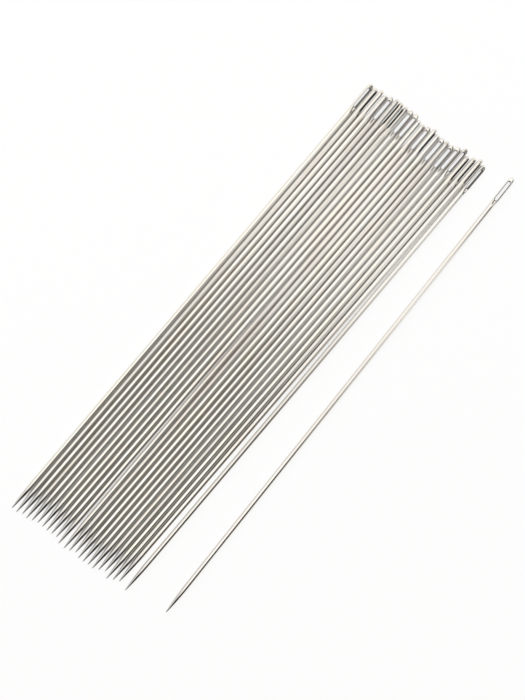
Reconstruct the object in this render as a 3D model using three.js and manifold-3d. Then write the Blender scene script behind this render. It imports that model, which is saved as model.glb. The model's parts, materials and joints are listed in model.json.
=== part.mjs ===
// A set of sack needles on a table: most lie side by side in a row, and one lies apart.
// Millimetres. +Y runs from the points to the eyes, +X towards the needle that lies apart, +Z is up.
import * as THREE from "three";
import { mergeVertices } from "three/addons/utils/BufferGeometryUtils.js";
import Module from "manifold-3d";

// Sizes of one needle, from its point to its crown
const NEEDLE_LENGTH = 175;
const SHAFT_DIAMETER = 1.8;
const POINT_LENGTH = 12;
const TIP_DIAMETER = 0.2;
const TIP_LENGTH = 0.12;

// Sizes of the stamped head: its throat joins the round shaft to the eye
const THROAT_LENGTH = 2.7;
const EYE_LENGTH = 7.4;
const EYE_WIDTH = 0.96;
const CROWN_WALL = 1.7;
const CHEEK_WIDTH = 0.52;
const HEAD_THICKNESS = 1.4;
const SHOULDER_LENGTH = 3.6;
const CROWN_LENGTH = 1.6;
const GUTTER_WIDTH = 0.8;
const GUTTER_DEPTH = 0.34;
const GUTTER_TO_SHAFT = 0.7;

// How the needles lie
const NEIGHBOUR_GAP = 0.02;
const FIRST_LEAN_DEG = 1.78;
const POINT_LINE_RISE = 1.9;
const LONE_CLEARANCE = 7.4;
const LONE_LEAD = 2.6;

// The row, ending beside the lone needle. Roll is how far an eye is turned from facing up, in degrees.
// Slip is how far a needle is pushed towards the eyes, and parting the room after it at the points.
const ROW = [
  { roll: 26, slip: -0.1, parting: 0.05 },
  { roll: 66, slip: -0.3, parting: 0 },
  { roll: 86, slip: 0.3, parting: 0 },
  { roll: 82, slip: -0.1, parting: 0 },
  { roll: 5, slip: 0.4, parting: 0 },
  { roll: 85, slip: 0.9, parting: 0.1 },
  { roll: -66, slip: 0.8, parting: 0 },
  { roll: -64, slip: 0.6, parting: 0 },
  { roll: 3, slip: 0.7, parting: 0 },
  { roll: -4, slip: 0.7, parting: 0 },
  { roll: 86, slip: -0.5, parting: 0.45 },
  { roll: 80, slip: -0.7, parting: 0 },
  { roll: 7, slip: -0.3, parting: 0 },
  { roll: 66, slip: 0.4, parting: 0 },
  { roll: 87, slip: -0.6, parting: 0 },
  { roll: 2, slip: -0.6, parting: 0 },
  { roll: 86, slip: -0.5, parting: 0 },
  { roll: 6, slip: -0.6, parting: 0 },
  { roll: -7, slip: 0.2, parting: 0 },
  { roll: 14, slip: 1.1, parting: 0 },
  { roll: 64, slip: -0.6, parting: 0 },
  { roll: 66, slip: 0.3, parting: 0 },
  { roll: 68, slip: 1.1, parting: 1.45 },
  { roll: 28, slip: 0, parting: 0 },
];

// Fineness of the round forms
const SIDES = 16;
const POINT_STEPS = 4;
const SHOULDER_STEPS = 3;
const CROWN_STEPS = 3;
const EYE_ARC_STEPS = 3;
const GUTTER_SIDES = 6;
const GUTTER_STEPS = 4;
const REST_STEPS = 40;
const PACKING_STEP = 0.2;

// Bright nickel plate on steel
const STEEL_COLOUR = 0xd8d5ce;
const STEEL_ROUGHNESS = 0.22;
const STEEL_METALNESS = 1;

// Places along one needle and widths across it, from the sizes above
const SHAFT_RADIUS = SHAFT_DIAMETER / 2;
const TIP_RADIUS = TIP_DIAMETER / 2;
const HEAD_RADIUS = EYE_WIDTH / 2 + CHEEK_WIDTH;
const EYE_TOP = NEEDLE_LENGTH - CROWN_WALL;
const EYE_BOTTOM = EYE_TOP - EYE_LENGTH;
const HEAD_START = EYE_BOTTOM - THROAT_LENGTH;
const FULL_WIDTH = HEAD_START + SHOULDER_LENGTH;
const CROWN_START = NEEDLE_LENGTH - CROWN_LENGTH;

const wasm = await Module();
wasm.setup();

// Radius of the needle's round outline at a distance from its point, before the head is stamped flat
function outlineRadius(along) {
  if (along < TIP_LENGTH) return (TIP_RADIUS * Math.max(along, 0)) / TIP_LENGTH;
  if (along < POINT_LENGTH) {
    const share = (along - TIP_LENGTH) / (POINT_LENGTH - TIP_LENGTH);
    return TIP_RADIUS + (SHAFT_RADIUS - TIP_RADIUS) * Math.sin((share * Math.PI) / 2);
  }
  if (along <= HEAD_START) return SHAFT_RADIUS;
  if (along < FULL_WIDTH) {
    const share = (along - HEAD_START) / SHOULDER_LENGTH;
    return SHAFT_RADIUS + (HEAD_RADIUS - SHAFT_RADIUS) * Math.sin((share * Math.PI) / 2) ** 2;
  }
  if (along <= CROWN_START) return HEAD_RADIUS;
  const share = Math.min((along - CROWN_START) / CROWN_LENGTH, 1);
  return HEAD_RADIUS * Math.sqrt(1 - share ** 2);
}

// Half the thickness that the stamping dies leave at a distance from the point
function dieHalfThickness(along) {
  const share = THREE.MathUtils.clamp((along - HEAD_START) / SHOULDER_LENGTH, 0, 1);
  return THREE.MathUtils.lerp(SHAFT_RADIUS, HEAD_THICKNESS / 2, share);
}

// How far the section at a distance from the point reaches from the axis, at an angle from the head's width
function reach(along, angle) {
  const radius = outlineRadius(along);
  const half = Math.min(dieHalfThickness(along), radius);
  const across = Math.abs(Math.cos(angle));
  const up = Math.abs(Math.sin(angle));
  if (radius * up <= half) return radius;
  return Math.sqrt(radius ** 2 - half ** 2) * across + half * up;
}

// A revolved solid about +Y through the outline at these stations, closed on the axis at both ends
function revolve(stations) {
  const last = stations.length - 1;
  const profile = stations.map((along) => new THREE.Vector2(outlineRadius(along), along));
  if (profile[0].x > 0) profile.unshift(new THREE.Vector2(0, stations[0]));
  if (profile[profile.length - 1].x > 0) profile.push(new THREE.Vector2(0, stations[last]));
  return new THREE.LatheGeometry(profile, SIDES);
}

// Evenly stepped stations between two places, both included
function steps(from, to, count) {
  return Array.from({ length: count + 1 }, (_, i) => from + ((to - from) * i) / count);
}

// A closed three.js geometry as a solid that can be cut
function solidFrom(geometry) {
  const bare = geometry.clone();
  bare.deleteAttribute("normal");
  bare.deleteAttribute("uv");
  const merged = mergeVertices(bare);
  const corners = merged.index.array;
  const triVerts = [];
  for (let i = 0; i < corners.length; i += 3) {
    const [a, b, c] = corners.slice(i, i + 3);
    if (a !== b && b !== c && c !== a) triVerts.push(a, b, c);
  }
  const mesh = new wasm.Mesh({
    numProp: 3,
    vertProperties: merged.attributes.position.array,
    triVerts: new Uint32Array(triVerts),
  });
  return new wasm.Manifold(mesh);
}

// A cut solid back as a three.js geometry
function geometryFrom(solid) {
  const mesh = solid.getMesh();
  const geometry = new THREE.BufferGeometry();
  geometry.setAttribute("position", new THREE.BufferAttribute(mesh.vertProperties, 3));
  geometry.setIndex(new THREE.BufferAttribute(mesh.triVerts, 1));
  geometry.computeVertexNormals();
  return geometry;
}

// The ground point and the drawn round shaft, up to where the head begins
function makeShaft() {
  const point = steps(TIP_LENGTH, POINT_LENGTH, POINT_STEPS);
  return revolve([0, ...point, HEAD_START]);
}

// The widened end of the wire, with what stands above or below the stamping dies pressed flat
function pressedBlank() {
  const shoulder = steps(HEAD_START, FULL_WIDTH, SHOULDER_STEPS);
  const turns = steps(0, Math.PI / 2, CROWN_STEPS);
  const crown = turns.map((turn) => CROWN_START + CROWN_LENGTH * Math.sin(turn));
  const blank = revolve([...shoulder, ...crown]);
  const corners = blank.attributes.position;
  for (let i = 0; i < corners.count; i++) {
    const half = dieHalfThickness(corners.getY(i));
    corners.setZ(i, THREE.MathUtils.clamp(corners.getZ(i), -half, half));
  }
  return blank;
}

// The punch that opens the eye: a long slot with round ends, right through the head
function eyePunch() {
  const radius = EYE_WIDTH / 2;
  const slot = new THREE.Shape();
  slot.absarc(0, EYE_TOP - radius, radius, 0, Math.PI);
  slot.absarc(0, EYE_BOTTOM + radius, radius, Math.PI, 2 * Math.PI);
  const depth = SHAFT_DIAMETER + HEAD_THICKNESS;
  const punch = new THREE.ExtrudeGeometry(slot, {
    depth,
    bevelEnabled: false,
    curveSegments: EYE_ARC_STEPS,
  });
  return punch.translate(0, 0, -depth / 2);
}

// The groove that leads the twine out of the eye on one face and runs out before the shaft
function gutterPunch(side) {
  const length = THROAT_LENGTH - GUTTER_TO_SHAFT;
  const groove = new THREE.SphereGeometry(1, GUTTER_SIDES, GUTTER_STEPS);
  groove.scale(GUTTER_WIDTH / 2, length, GUTTER_DEPTH);
  return groove.translate(0, EYE_BOTTOM, side * dieHalfThickness(EYE_BOTTOM));
}

// The stamped head: the pressed blank, with its eye and both gutters punched out
function makeHead() {
  const cutters = [eyePunch(), gutterPunch(1), gutterPunch(-1)];
  const cut = (left, cutter) => left.subtract(solidFrom(cutter));
  return geometryFrom(cutters.reduce(cut, solidFrom(pressedBlank())));
}

// The least spacing at the eyes for two neighbours whose spacing at the points is given
function eyeSpacing(left, right, pointSpacing) {
  let spacing = 0;
  for (let along = NEEDLE_LENGTH / 2; along < NEEDLE_LENGTH + PACKING_STEP; along += PACKING_STEP) {
    const share = along / NEEDLE_LENGTH;
    const need =
      reach(along - left.tipY, left.roll) + reach(along - right.tipY, right.roll) + NEIGHBOUR_GAP;
    spacing = Math.max(spacing, (need - pointSpacing * (1 - share)) / share);
  }
  return spacing;
}

// Where each needle of the row lies: its tip, and how far its eye end leans towards +X
function layRow() {
  const placed = [];
  let pointX = 0;
  let eyeX = NEEDLE_LENGTH * Math.tan(THREE.MathUtils.degToRad(FIRST_LEAN_DEG));
  ROW.forEach((needle, i) => {
    const roll = THREE.MathUtils.degToRad(needle.roll);
    const tipY = (POINT_LINE_RISE * i) / (ROW.length - 1) + needle.slip;
    const here = { roll, tipY };
    if (i > 0) {
      const spacing = SHAFT_DIAMETER + NEIGHBOUR_GAP + ROW[i - 1].parting;
      pointX += spacing;
      eyeX += eyeSpacing(placed[i - 1], here, spacing);
    }
    const lean = Math.atan((eyeX - pointX) / NEEDLE_LENGTH);
    placed.push({ ...here, lean, tipX: pointX + tipY * Math.tan(lean), eyeX });
  });
  return placed;
}

// The needle that lies apart, clear of the row's last eye, straight along Y and with its eye facing up
function layLone(last) {
  const tipX = last.eyeX + HEAD_RADIUS + LONE_CLEARANCE + HEAD_RADIUS;
  return { roll: 0, lean: 0, tipX, tipY: POINT_LINE_RISE + LONE_LEAD };
}

// How steeply a needle lies when its shaft rests behind the point, and its head too where that is deeper
function restPitch(roll) {
  const stations = steps(HEAD_START, CROWN_START, REST_STEPS);
  const depth = (along) => reach(along, roll + Math.PI / 2) - SHAFT_RADIUS;
  const slopes = stations.map((along) => depth(along) / (along - POINT_LENGTH));
  return Math.asin(Math.max(...slopes, 0));
}

// One needle laid on the table
function layNeedle(name, place, shaft, head) {
  const pitch = restPitch(place.roll);
  const needle = new THREE.Group();
  needle.position.set(place.tipX, place.tipY, SHAFT_RADIUS - POINT_LENGTH * Math.sin(pitch));
  needle.rotation.set(pitch, place.roll, -place.lean, "ZXY");
  for (const [piece, geometry] of [["shaft", shaft], ["eye", head]]) {
    const steel = new THREE.MeshStandardMaterial({
      color: STEEL_COLOUR,
      roughness: STEEL_ROUGHNESS,
      metalness: STEEL_METALNESS,
    });
    const mesh = new THREE.Mesh(geometry, steel);
    mesh.name = `${name}_${piece}`;
    needle.add(mesh);
  }
  return needle;
}

// The whole set, with its origin on the table under the middle of its box
function makeSet() {
  const shaft = makeShaft();
  const head = makeHead();
  const row = layRow();
  const places = [...row, layLone(row[row.length - 1])];
  const lying = new THREE.Group();
  places.forEach((place, i) => {
    const number = String(i + 1).padStart(2, "0");
    lying.add(layNeedle(`needle_${number}`, place, shaft, head));
  });
  const middle = new THREE.Box3().setFromObject(lying, true).getCenter(new THREE.Vector3());
  lying.position.set(-middle.x, -middle.y, 0);
  const set = new THREE.Group();
  set.add(lying);
  return set;
}

export default makeSet();
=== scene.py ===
"""Looks of a set of sack needles lying on a white table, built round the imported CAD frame."""

import json
import math

import bmesh
import bpy
import numpy as np
from mathutils import Matrix, Vector

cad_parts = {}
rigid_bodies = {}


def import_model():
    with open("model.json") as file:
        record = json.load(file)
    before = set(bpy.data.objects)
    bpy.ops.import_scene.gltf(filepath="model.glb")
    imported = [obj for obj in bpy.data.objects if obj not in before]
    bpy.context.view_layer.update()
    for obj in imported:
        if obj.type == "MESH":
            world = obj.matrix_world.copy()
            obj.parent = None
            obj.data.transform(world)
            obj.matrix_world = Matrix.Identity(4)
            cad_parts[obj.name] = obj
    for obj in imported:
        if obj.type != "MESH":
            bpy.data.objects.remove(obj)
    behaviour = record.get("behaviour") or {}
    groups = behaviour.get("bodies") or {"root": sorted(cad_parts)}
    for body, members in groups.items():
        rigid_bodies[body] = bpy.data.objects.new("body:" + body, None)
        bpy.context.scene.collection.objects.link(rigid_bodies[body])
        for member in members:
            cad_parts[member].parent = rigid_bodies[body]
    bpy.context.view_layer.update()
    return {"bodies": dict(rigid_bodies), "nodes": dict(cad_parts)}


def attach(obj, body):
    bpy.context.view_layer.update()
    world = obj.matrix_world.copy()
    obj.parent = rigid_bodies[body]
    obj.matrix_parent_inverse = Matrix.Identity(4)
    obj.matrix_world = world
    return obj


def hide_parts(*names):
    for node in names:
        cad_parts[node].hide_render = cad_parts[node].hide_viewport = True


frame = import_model()
NODES = frame["nodes"]
NEEDLES = sorted(frame["bodies"])

MM = 0.001

# Sizes of one needle in millimetres, the same as the CAD's
LENGTH = 175.0
SHAFT_R = 0.9
POINT = 12.0
TIP_R = 0.1
TIP = 0.12
EYE_LENGTH = 7.4
EYE_HALF = 0.48
CHEEK = 0.52
CROWN_WALL = 1.7
CROWN = 1.6
THROAT = 2.7
SHOULDER = 3.6
HEAD_HALF = 0.7
GUTTER_HALF = 0.4
GUTTER_DEPTH = 0.34
GUTTER_LENGTH = 2.0
EYE_TOP = LENGTH - CROWN_WALL
EYE_BOTTOM = EYE_TOP - EYE_LENGTH
HEAD_START = EYE_BOTTOM - THROAT
FULL_WIDTH = HEAD_START + SHOULDER
CROWN_START = LENGTH - CROWN
HEAD_R = EYE_HALF + CHEEK

# Finish that the CAD leaves out: a fuller point, burnished rims of the eye and softened edges
POINT_FULLNESS = 0.7
RIM = 0.34
PRESS_EDGE = 0.30
PRESS_EASE = 0.3
GUTTER_EASE = 1.5
GUTTER_SHARE = 0.6

# Fineness of one quarter of a needle
COLUMNS = 14
RIM_STEPS = 5
WALL_STEPS = 3
ARC_STEPS = 10
EYE_STEPS = 12
TIP_SHARES = (0.12, 0.4, 0.75)
POINT_ROWS = 18
POINT_CROWDING = 1.7
SHAFT_ROWS = 12
THROAT_ROWS = 14
CROWN_ROWS = 14
WELD = 2e-7

# How closely the CAD's vertices and faces are told apart, in metres and as a slope
END_BAND = 5e-5
FLAT_BAND = 1e-5
SIDE_SLOPE = 0.03

# Where the finish changes, in metres from the point or from the eye's middle line
POINT_FADE = (0.013, 0.010)
BARE_FADE = (0.011, 0.001)
HEAD_FADE = (0.1630, 0.1655)
EYE_MIDDLE = (EYE_BOTTOM + EYE_TOP) / 2 * MM
EYE_REACH = (EYE_LENGTH / 2 - EYE_HALF) * MM
# The bore's dark band fades out here, partly bare punched metal and partly painted shade
BORE_FADE = (0.00077, 0.00060)

# Marks on the plate, in waves to the metre across, along and up
DRAWN_LINES = (9000.0, 90.0, 9000.0)
GRINDING = (2600.0, 5200.0, 2600.0)
STAMPING = (3800.0, 1500.0, 3800.0)
CLOUDS = (240.0, 34.0, 240.0)
PITS = (2400.0, 900.0, 2400.0)
STREAKS = (1300.0, 8.0, 1300.0)
MARK_DEPTH = 0.00002

# Each needle's own share of the noise and of the tints
NOISE_SPREAD = 37.0
TINT_SPREAD = 7.31

WARM_NICKEL = (0.87, 0.82, 0.725, 1.0)
COOL_NICKEL = (0.79, 0.77, 0.73, 1.0)
ROSY_NICKEL = (0.83, 0.775, 0.715, 1.0)
CLEAR_NICKEL = (0.86, 0.84, 0.795, 1.0)
DULL_NICKEL = (0.58, 0.54, 0.49, 1.0)
DARK_STEEL = (0.68, 0.665, 0.64, 1.0)
LIGHT_STEEL = (0.78, 0.765, 0.74, 1.0)
PIT_GREY = (0.33, 0.30, 0.26, 1.0)
# The eye's bore: darker as bare punched metal and as painted shade on the rim's inner slope
BORE_BARE_AND_SHADE = (0.09, 0.080, 0.066, 1.0)
# Painted shade, dark brown where needles lie close together and deep in the eye
PAINTED_CREVICE_SHADE = (0.030, 0.022, 0.014, 1.0)

# How far crevices, the eye's bore and the table under the needles look for what covers them, which
# sets their painted shade
CREVICE_REACH = 0.00038
BORE_REACH = 0.0011
TABLE_REACH = 0.002
COVER_SAMPLES = 8

TABLE_HALF = 4.0
TABLE_DARK = (0.19, 0.19, 0.19, 1.0)
TABLE_LIGHT = (0.21, 0.21, 0.21, 1.0)
TABLE_GRAIN = 260.0
TABLE_GLOW = 0.845
# Glow that the painted shadow under and beside the needles leaves
TABLE_SHADE = TABLE_GLOW * 0.1
TABLE_MIRRORED = 1.05
WHITE = (1.0, 1.0, 1.0, 1.0)
ROOM_GREY = (0.27, 0.265, 0.256, 1.0)
BACKDROP = (0.97, 0.97, 0.965, 1.0)

# Strips of the light tent, each from its front to its back: the ceiling's with their glow,
# and the right side's in layers
CEILING = ((-0.2, -0.05, 1.02), (-0.05, 0.06, 0.94), (0.06, 0.505, 0.96))
CEILING_X = -0.225
CEILING_Z = 0.62
CEILING_WIDE = 0.83
RIGHT_CEILING = ((-0.03, 0.15), (0.01, 0.135), (0.05, 0.118))
RIGHT_CEILING_X = 0.40
RIGHT_CEILING_Z = 0.60
RIGHT_CEILING_WIDE = 0.42
RIGHT_WALL = ((-0.03, 0.13), (0.01, 0.125), (0.05, 0.12))
RIGHT_WALL_X = 0.66
RIGHT_WALL_Z = 0.30
RIGHT_WALL_AIM = 0.15
RIGHT_WALL_TALL = 0.54
RIGHT_GLOW = 0.28
LAYER_STEP = 0.01

# The photograph's view: straight down, with the loose needle running up to the right
TURN = math.atan2(0.6243, 0.7812)
RIGHT = Vector((math.cos(TURN), math.sin(TURN), 0.0))
UP = Vector((-math.sin(TURN), math.cos(TURN), 0.0))
PIXELS_PER_METRE = 3180.0
LONE_TIP_PIXEL = (165.8, 612.5)
FOCUS_HEIGHT = 0.0009
LENS = 135.0
SENSOR = 36.0
PICTURE = (525, 700)
FAR_CLIP = 20.0


def outline_radius(along):
    """Radius of the round outline at a distance from the point, before the head is stamped."""
    if along < TIP:
        return TIP_R * math.sqrt(max(0.0, 1 - (1 - along / TIP) ** 2))
    if along < POINT:
        share = (along - TIP) / (POINT - TIP)
        return TIP_R + (SHAFT_R - TIP_R) * math.sin(share * math.pi / 2) ** POINT_FULLNESS
    if along <= HEAD_START:
        return SHAFT_R
    if along < FULL_WIDTH:
        share = (along - HEAD_START) / SHOULDER
        return SHAFT_R + (HEAD_R - SHAFT_R) * math.sin(share * math.pi / 2) ** 2
    if along <= CROWN_START:
        return HEAD_R
    share = min((along - CROWN_START) / CROWN, 1.0)
    return HEAD_R * math.sqrt(max(0.0, 1 - share**2))


def die_half(along):
    """Half the thickness that the stamping dies leave, eased at both ends of the shoulder."""
    share = min(max((along - HEAD_START) / SHOULDER, 0.0), 1.0)
    eased = share * share * (3 - 2 * share)
    return SHAFT_R + (HEAD_HALF - SHAFT_R) * eased


def gutter(across, along):
    """Depth of the groove that leads the twine out of the eye."""
    reach = (across / GUTTER_HALF) ** 2 + ((along - EYE_BOTTOM) / GUTTER_LENGTH) ** 2
    return GUTTER_DEPTH * max(0.0, 1 - reach) ** GUTTER_EASE


def height(across, along):
    """Height of the upper face above the middle plane."""
    radius = outline_radius(along)
    round_top = math.sqrt(max(0.0, radius**2 - across**2))
    flat_top = die_half(along)
    edge = PRESS_EDGE * min(max((radius - flat_top) / PRESS_EASE, 0.0), 1.0)
    top = min(round_top, flat_top)
    if edge > 0:
        top -= max(edge - abs(round_top - flat_top), 0.0) ** 2 / (4 * edge)
    return max(0.0, top - min(gutter(across, along), GUTTER_SHARE * top))


def section(along, inner):
    """Points of a quarter section, from a distance inside to the outer edge."""
    radius = outline_radius(along)
    first = math.acos(min(1.0, inner / radius)) if radius > 0 else math.pi / 2
    row = []
    for k in range(COLUMNS + 1):
        across = radius * math.cos(first * (1 - k / COLUMNS))
        row.append((across, along, height(across, along) if k < COLUMNS else 0.0))
    return row


def eye_edge(grow):
    """One side of the eye's edge, grown by a distance, from its lower end to its upper end."""
    radius = EYE_HALF + grow
    low, high = EYE_BOTTOM + EYE_HALF, EYE_TOP - EYE_HALF
    turn = [math.pi / 2 * i / ARC_STEPS for i in range(ARC_STEPS + 1)]
    lower = [(radius * math.sin(t), low - radius * math.cos(t)) for t in turn]
    straight = [(radius, low + (high - low) * i / EYE_STEPS) for i in range(1, EYE_STEPS)]
    upper = [(radius * math.cos(t), high + radius * math.sin(t)) for t in turn]
    return lower + straight + upper


def steps(start, end, count):
    """Even distances after a start, up to an end."""
    return [start + (end - start) * i / count for i in range(1, count + 1)]


def plain_rows():
    """Quarter sections below the eye, and those above it."""
    points = [POINT * (i / POINT_ROWS) ** POINT_CROWDING for i in range(POINT_ROWS + 1)]
    points[1:1] = [TIP * share for share in TIP_SHARES if TIP * share < points[1]]
    shaft = steps(POINT, HEAD_START, SHAFT_ROWS)
    throat = steps(HEAD_START, EYE_BOTTOM - RIM, THROAT_ROWS)
    turns = [math.pi / 2 * i / CROWN_ROWS for i in range(CROWN_ROWS + 1)]
    crown_from = EYE_TOP + RIM
    crown = [crown_from + (LENGTH - crown_from) * math.sin(t) for t in turns]
    below = [section(y, 0.0) for y in points + shaft + throat]
    above = [section(y, 0.0) for y in crown]
    return below, above


def eye_rows():
    """Rows from the eye's wall over its rounded rim to the needle's outer edge."""
    rims = []
    for j in range(RIM_STEPS):
        turn = math.pi / 2 * j / RIM_STEPS
        drop = RIM * (1 - math.sin(turn))
        edge = eye_edge(RIM * (1 - math.cos(turn)))
        rims.append([(u, y, height(u, y) - drop) for u, y in edge])
    rows = []
    for i, (u, y) in enumerate(eye_edge(RIM)):
        brink = rims[0][i]
        wall = [(brink[0], brink[1], brink[2] * s / WALL_STEPS) for s in range(WALL_STEPS)]
        rows.append(wall + [rim[i] for rim in rims] + section(y, u))
    return rows


def needle_mesh():
    """One seamless needle with its point at the origin, along +Y, with its eye facing up."""
    below, above = plain_rows()
    build = bmesh.new()
    for grid in (below, eye_rows(), above):
        for side in (1, -1):
            for face in (1, -1):
                corners = [
                    [build.verts.new((u * side * MM, y * MM, z * face * MM)) for u, y, z in row]
                    for row in grid
                ]
                for a, b in zip(corners, corners[1:]):
                    for k in range(len(a) - 1):
                        build.faces.new((a[k], a[k + 1], b[k + 1], b[k]))
    bmesh.ops.remove_doubles(build, verts=build.verts, dist=WELD)
    bmesh.ops.recalc_face_normals(build, faces=build.faces)
    for face in build.faces:
        face.smooth = True
    mesh = bpy.data.meshes.new("needle_fine")
    build.to_mesh(mesh)
    build.free()
    return mesh


def needle_place(name):
    """Where the CAD's needle lies: its point, its axis, and its eye's width and facing."""
    shaft = np.array([v.co for v in NODES[name + "_shaft"].data.vertices], float)
    tip = shaft[shaft[:, 1].argmin()]
    reach = np.linalg.norm(shaft - tip, axis=1)
    axis = shaft[reach > reach.max() - END_BAND].mean(0) - tip
    axis /= np.linalg.norm(axis)
    # The stamped flats, which face along the eye, lie half the head's thickness from the axis
    facing = np.zeros(3)
    for face in NODES[name + "_eye"].data.polygons:
        normal = np.array(face.normal)
        out = np.array(face.center) - tip
        from_axis = abs(normal @ (out - (out @ axis) * axis))
        if abs(normal @ axis) < SIDE_SLOPE and abs(from_axis - HEAD_HALF * MM) < FLAT_BAND:
            facing += face.area * normal * (1.0 if normal @ facing >= 0 else -1.0)
    facing -= (facing @ axis) * axis
    facing /= np.linalg.norm(facing)
    if facing[2] < 0:
        facing = -facing
    width = np.cross(axis, facing)
    place = Matrix.Identity(4)
    for i, way in enumerate((width, axis, facing)):
        for k in range(3):
            place[k][i] = way[k]
    place.translation = Vector(tip)
    return place


class Nodes:
    """Short ways to add and join shader nodes in one tree."""

    def __init__(self, tree):
        self.tree = tree
        tree.nodes.clear()

    def add(self, kind, settings=None, **inputs):
        node = self.tree.nodes.new(kind)
        for name, value in (settings or {}).items():
            setattr(node, name, value)
        for name, value in inputs.items():
            self.put(node.inputs[name.replace("_", " ")], value)
        return node

    def put(self, socket, value):
        if isinstance(value, bpy.types.NodeSocket):
            self.tree.links.new(value, socket)
        else:
            socket.default_value = value

    def math(self, operation, a, b=0.0, clamp=False):
        node = self.add("ShaderNodeMath", {"operation": operation, "use_clamp": clamp})
        self.put(node.inputs[0], a)
        self.put(node.inputs[1], b)
        return node.outputs[0]

    def ramp(self, value, low, high, to_low=0.0, to_high=1.0):
        node = self.add("ShaderNodeMapRange", {"interpolation_type": "SMOOTHSTEP"})
        for name, number in (
            ("Value", value),
            ("From Min", low),
            ("From Max", high),
            ("To Min", to_low),
            ("To Max", to_high),
        ):
            self.put(node.inputs[name], number)
        return node.outputs[0]

    def mix(self, factor, a, b):
        node = self.add("ShaderNodeMix", {"data_type": "RGBA"})
        self.put(node.inputs[0], factor)
        self.put(node.inputs[6], a)
        self.put(node.inputs[7], b)
        return node.outputs[2]

    def noise(self, vector, scale, detail, roughness):
        node = self.add("ShaderNodeTexNoise", {}, Scale=scale, Detail=detail, Roughness=roughness)
        self.put(node.inputs["Vector"], vector)
        return node.outputs[0]

    def marks(self, vector, waves, detail, roughness):
        """Noise drawn out by a number of waves to the metre along each axis."""
        node = self.add("ShaderNodeVectorMath", {"operation": "MULTIPLY"})
        self.put(node.inputs[0], vector)
        self.put(node.inputs[1], waves)
        return self.noise(node.outputs[0], 1.0, detail, roughness)

    def uncovered(self, reach):
        """How open a place is, from 0 where what lies within reach covers it to 1."""
        node = self.add("ShaderNodeAmbientOcclusion", {"samples": COVER_SAMPLES}, Distance=reach)
        return node.outputs["AO"]

    def relief(self, height, strength, below=None):
        """A slight relief from a pattern's height, laid over another one."""
        node = self.add("ShaderNodeBump", {}, Distance=MARK_DEPTH, Height=height)
        self.put(node.inputs["Strength"], strength)
        if below is not None:
            self.put(node.inputs["Normal"], below)
        return node.outputs[0]


def nickel_colour(n, chance, along, point, patterns):
    """Nickel with each needle's own tint, dull streaks, bare steel at the point and small pits."""
    other = n.math("FRACT", n.math("MULTIPLY", chance, TINT_SPREAD))
    tint = n.mix(chance, WARM_NICKEL, COOL_NICKEL)
    tint = n.mix(other, tint, ROSY_NICKEL)
    plate = n.mix(n.ramp(patterns["cloud"], 0.38, 0.68), tint, CLEAR_NICKEL)
    plate = n.mix(n.math("MULTIPLY", patterns["dull"], 0.42), plate, DULL_NICKEL)
    steel = n.mix(patterns["ground"], DARK_STEEL, LIGHT_STEEL)
    bare = n.math("MULTIPLY", point, n.ramp(along, *BARE_FADE, 0.2, 0.7))
    colour = n.mix(bare, plate, steel)
    return n.mix(n.math("MULTIPLY", patterns["pitted"], 0.20), colour, PIT_GREY)


def shaded_colour(n, colour, across, along):
    """The colour with a dark punched bore, partly bare metal and partly painted shade, and painted
    shade where needles lie close together and deep in the eye.
    """
    # The bore's dark band is partly bare punched metal and partly painted shade on the rim's inner
    # slope
    beyond = n.math("ABSOLUTE", n.math("SUBTRACT", along, EYE_MIDDLE))
    beyond = n.math("MAXIMUM", n.math("SUBTRACT", beyond, EYE_REACH), 0.0)
    squares = n.math("ADD", n.math("POWER", across, 2.0), n.math("POWER", beyond, 2.0))
    bore = n.ramp(n.math("SQRT", squares), *BORE_FADE)
    colour = n.mix(n.math("MULTIPLY", bore, 0.9), colour, BORE_BARE_AND_SHADE)

    # Painted shade: dark brown where another needle lies close, and deep inside the eye's bore
    crevice_shade = n.ramp(n.uncovered(CREVICE_REACH), 0.44, 0.80)
    bore_shade = n.ramp(n.uncovered(BORE_REACH), 0.15, 0.75)
    bore_shade = n.math("MAXIMUM", bore_shade, n.math("SUBTRACT", 1.0, bore))
    return n.mix(n.math("MULTIPLY", crevice_shade, bore_shade), PAINTED_CREVICE_SHADE, colour)


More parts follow.
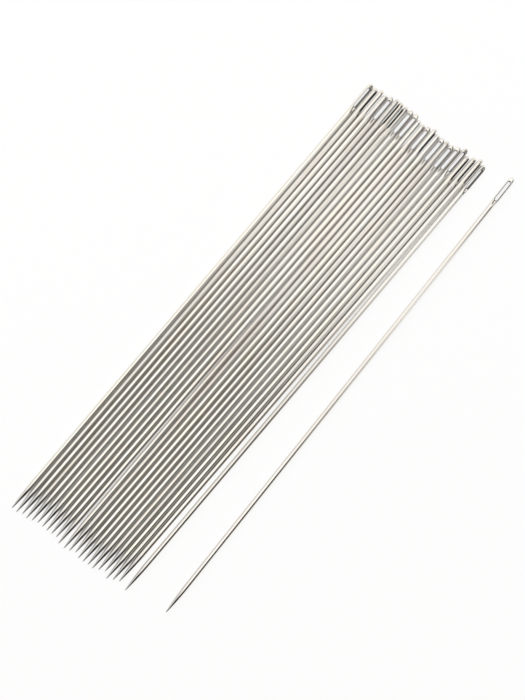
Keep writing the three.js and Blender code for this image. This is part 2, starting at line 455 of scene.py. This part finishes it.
def nickel_material():
    """Bright nickel plate: drawn lines along the shaft, a ground point and a stamped head."""
    material = bpy.data.materials.new("nickel_plate")
    material.use_nodes = True
    n = Nodes(material.node_tree)
    place = n.add("ShaderNodeTexCoord").outputs["Object"]
    chance = n.add("ShaderNodeObjectInfo").outputs["Random"]
    moved = n.add("ShaderNodeVectorMath", {"operation": "ADD"})
    n.put(moved.inputs[0], place)
    n.put(moved.inputs[1], n.math("MULTIPLY", chance, NOISE_SPREAD))
    spot = moved.outputs[0]
    apart = n.add("ShaderNodeSeparateXYZ")
    n.put(apart.inputs[0], place)
    across, along = apart.outputs["X"], apart.outputs["Y"]

    point = n.ramp(along, *POINT_FADE)
    head = n.ramp(along, *HEAD_FADE)
    drawn = n.marks(spot, DRAWN_LINES, 3.0, 0.6)
    stamped = n.marks(spot, STAMPING, 3.0, 0.55)
    patterns = {
        "ground": n.marks(spot, GRINDING, 2.0, 0.5),
        "cloud": n.marks(spot, CLOUDS, 3.0, 0.6),
        "pitted": n.ramp(n.marks(spot, PITS, 4.0, 0.7), 0.69, 0.78),
        "dull": n.ramp(n.marks(spot, STREAKS, 2.0, 0.5), 0.44, 0.64),
    }
    colour = nickel_colour(n, chance, along, point, patterns)
    colour = shaded_colour(n, colour, across, along)

    rough = n.ramp(patterns["cloud"], 0.3, 0.7, 0.07, 0.12)
    rough = n.math("ADD", rough, n.math("MULTIPLY", drawn, 0.04))
    rough = n.math("ADD", rough, n.math("MULTIPLY", patterns["dull"], 0.04))
    rough = n.math("ADD", rough, n.math("MULTIPLY", head, n.math("MULTIPLY", stamped, 0.12)))
    rough = n.math("ADD", rough, n.math("MULTIPLY", point, -0.03), clamp=True)

    relief = n.relief(drawn, 0.03)
    relief = n.relief(stamped, n.math("MULTIPLY", head, 0.05), relief)
    relief = n.relief(patterns["ground"], n.math("MULTIPLY", point, 0.05), relief)

    shade = n.add("ShaderNodeBsdfPrincipled", {}, Metallic=1.0, Base_Color=colour, Roughness=rough)
    n.put(shade.inputs["Normal"], relief)
    n.add("ShaderNodeOutputMaterial", {}, Surface=shade.outputs[0])
    return material


def table_material():
    """A white table, white in the steel's mirror too, with soft shadows from the lamps and a
    painted shadow by the needles.
    """
    material = bpy.data.materials.new("white_table")
    material.use_nodes = True
    n = Nodes(material.node_tree)
    place = n.add("ShaderNodeTexCoord").outputs["Object"]
    colour = n.mix(n.noise(place, TABLE_GRAIN, 3.0, 0.6), TABLE_DARK, TABLE_LIGHT)
    matt = n.add("ShaderNodeBsdfDiffuse", {}, Color=colour)
    path = n.add("ShaderNodeLightPath").outputs
    mirrored = n.math("MAXIMUM", path["Is Glossy Ray"], path["Is Transmission Ray"])
    mirrored = n.math("MULTIPLY", mirrored, TABLE_MIRRORED)
    seen = n.math("MAXIMUM", path["Is Camera Ray"], mirrored)
    # Painted shadow: the table's glow drops where the needles cover it
    glow_with_painted_shadow = n.ramp(n.uncovered(TABLE_REACH), 0.04, 0.17, TABLE_SHADE, TABLE_GLOW)
    glow = n.add("ShaderNodeEmission", {}, Color=WHITE, Strength=n.math("MULTIPLY", seen, glow_with_painted_shadow))
    both = n.add("ShaderNodeAddShader")
    n.put(both.inputs[0], matt.outputs[0])
    n.put(both.inputs[1], glow.outputs[0])
    n.add("ShaderNodeOutputMaterial", {}, Surface=both.outputs[0])
    return material


scene = bpy.context.scene
nickel = nickel_material()
for node in NODES.values():
    node.data.materials.clear()
    node.data.materials.append(nickel)

fine = needle_mesh()
fine.materials.append(nickel)
places = {name: needle_place(name) for name in NEEDLES}
for name in NEEDLES:
    needle = bpy.data.objects.new(name + "_plated", fine)
    scene.collection.objects.link(needle)
    needle.matrix_world = places[name]
    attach(needle, name)
    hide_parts(name + "_shaft", name + "_eye")

corners = [(x * TABLE_HALF, y * TABLE_HALF, 0) for x, y in ((-1, -1), (1, -1), (1, 1), (-1, 1))]
table = bpy.data.meshes.new("table")
table.from_pydata(corners, [], [(0, 1, 2, 3)])
table.materials.append(table_material())
floor = bpy.data.objects.new("table", table)
scene.collection.objects.link(floor)


def soft_light(name, place, aim, wide, tall, glow):
    """A soft box of some width and height, with a glow as bright as it looks in a mirror."""
    lamp = bpy.data.lights.new(name, "AREA")
    lamp.shape = "RECTANGLE"
    lamp.size = wide
    lamp.size_y = tall
    lamp.energy = glow * math.pi * wide * tall
    box = bpy.data.objects.new(name, lamp)
    scene.collection.objects.link(box)
    box.location = place
    away = (Vector(place) - Vector(aim)).normalized()
    side = Vector((0, 0, 1)).cross(away) if abs(away.z) < 0.9 else Vector((1, 0, 0))
    side = (side - away * side.dot(away)).normalized()
    box.rotation_euler = Matrix((side, away.cross(side), away)).transposed().to_euler()
    box.visible_camera = False


# A light tent: a ceiling that is brightest over the points, tall walls at the left and behind,
# a low one in front, and strips at the right whose layers add up from the points to the eyes
for front, back, glow in CEILING:
    y, deep = (front + back) / 2, back - front
    soft_light("ceiling", (CEILING_X, y, CEILING_Z), (CEILING_X, y, 0.0), CEILING_WIDE, deep, glow)
soft_light("ceiling_front", (-0.36, -0.3225, 0.62), (-0.36, -0.3225, 0.0), 0.56, 0.245, 0.93)
soft_light("left_wall", (-0.72, 0.05, 0.33), (0.0, 0.05, 0.20), 1.40, 0.62, 0.63)
soft_light("left_back", (-0.74, 0.40, 0.33), (0.0, 0.40, 0.20), 0.74, 0.62, 0.12)
soft_light("back_wall", (-0.10, 0.74, 0.30), (-0.10, 0.0, 0.15), 1.20, 0.56, 0.80)
soft_light("front_wall", (-0.05, -0.80, 0.17), (-0.05, 0.0, 0.12), 1.50, 0.30, 0.55)
for i, (front, back) in enumerate(RIGHT_CEILING):
    y, deep = (front + back) / 2, back - front
    place = (RIGHT_CEILING_X, y, RIGHT_CEILING_Z + LAYER_STEP * i)
    aim = (RIGHT_CEILING_X, y, 0.0)
    soft_light("right_ceiling", place, aim, RIGHT_CEILING_WIDE, deep, RIGHT_GLOW)
for i, (front, back) in enumerate(RIGHT_WALL):
    y, deep = (front + back) / 2, back - front
    place = (RIGHT_WALL_X + LAYER_STEP * i, y, RIGHT_WALL_Z)
    aim = (0.0, y, RIGHT_WALL_AIM)
    soft_light("right_wall", place, aim, deep, RIGHT_WALL_TALL, RIGHT_GLOW)

# The room beyond the tent: dim just in front and at the right, lighter farther round
world = bpy.data.worlds.new("room")
scene.world = world
world.use_nodes = True
w = Nodes(world.node_tree)
way = w.add("ShaderNodeSeparateXYZ")
w.put(way.inputs[0], w.add("ShaderNodeTexCoord").outputs["Generated"])
dim = w.ramp(way.outputs["Y"], -0.06, -0.22, 1.0, 0.15)
dim = w.math("MAXIMUM", dim, w.ramp(way.outputs["Y"], -0.42, -0.62))
far_side = w.ramp(way.outputs["X"], 0.12, 0.45, 1.0, 0.45)
slanting = w.ramp(w.math("ABSOLUTE", way.outputs["Y"]), 0.35, 0.60, 0.0, 1.5)
far_side = w.math("MAXIMUM", far_side, slanting)
strength = w.math("MULTIPLY", dim, far_side)
room = w.add("ShaderNodeBackground", {}, Color=ROOM_GREY, Strength=strength)
white = w.add("ShaderNodeBackground", {}, Color=BACKDROP, Strength=1.0)
either = w.add("ShaderNodeMixShader")
w.put(either.inputs[0], w.add("ShaderNodeLightPath").outputs["Is Camera Ray"])
w.put(either.inputs[1], room.outputs[0])
w.put(either.inputs[2], white.outputs[0])
w.add("ShaderNodeOutputWorld", {}, Surface=either.outputs[0])

camera = bpy.data.objects.new("camera", bpy.data.cameras.new("camera"))
scene.collection.objects.link(camera)
camera.data.lens = LENS
camera.data.sensor_width = SENSOR
tip = places["needle_25"].translation
across = (PICTURE[0] / 2 - LONE_TIP_PIXEL[0]) / PIXELS_PER_METRE
upward = (LONE_TIP_PIXEL[1] - PICTURE[1] / 2) / PIXELS_PER_METRE
middle = Vector((tip.x, tip.y, 0.0)) + RIGHT * across + UP * upward
distance = PICTURE[1] / PIXELS_PER_METRE / SENSOR * LENS
camera.location = middle + Vector((0.0, 0.0, FOCUS_HEIGHT + distance))
camera.rotation_euler = (0.0, 0.0, TURN)
camera.data.clip_end = FAR_CLIP
scene.camera = camera

scene.view_settings.view_transform = "Standard"
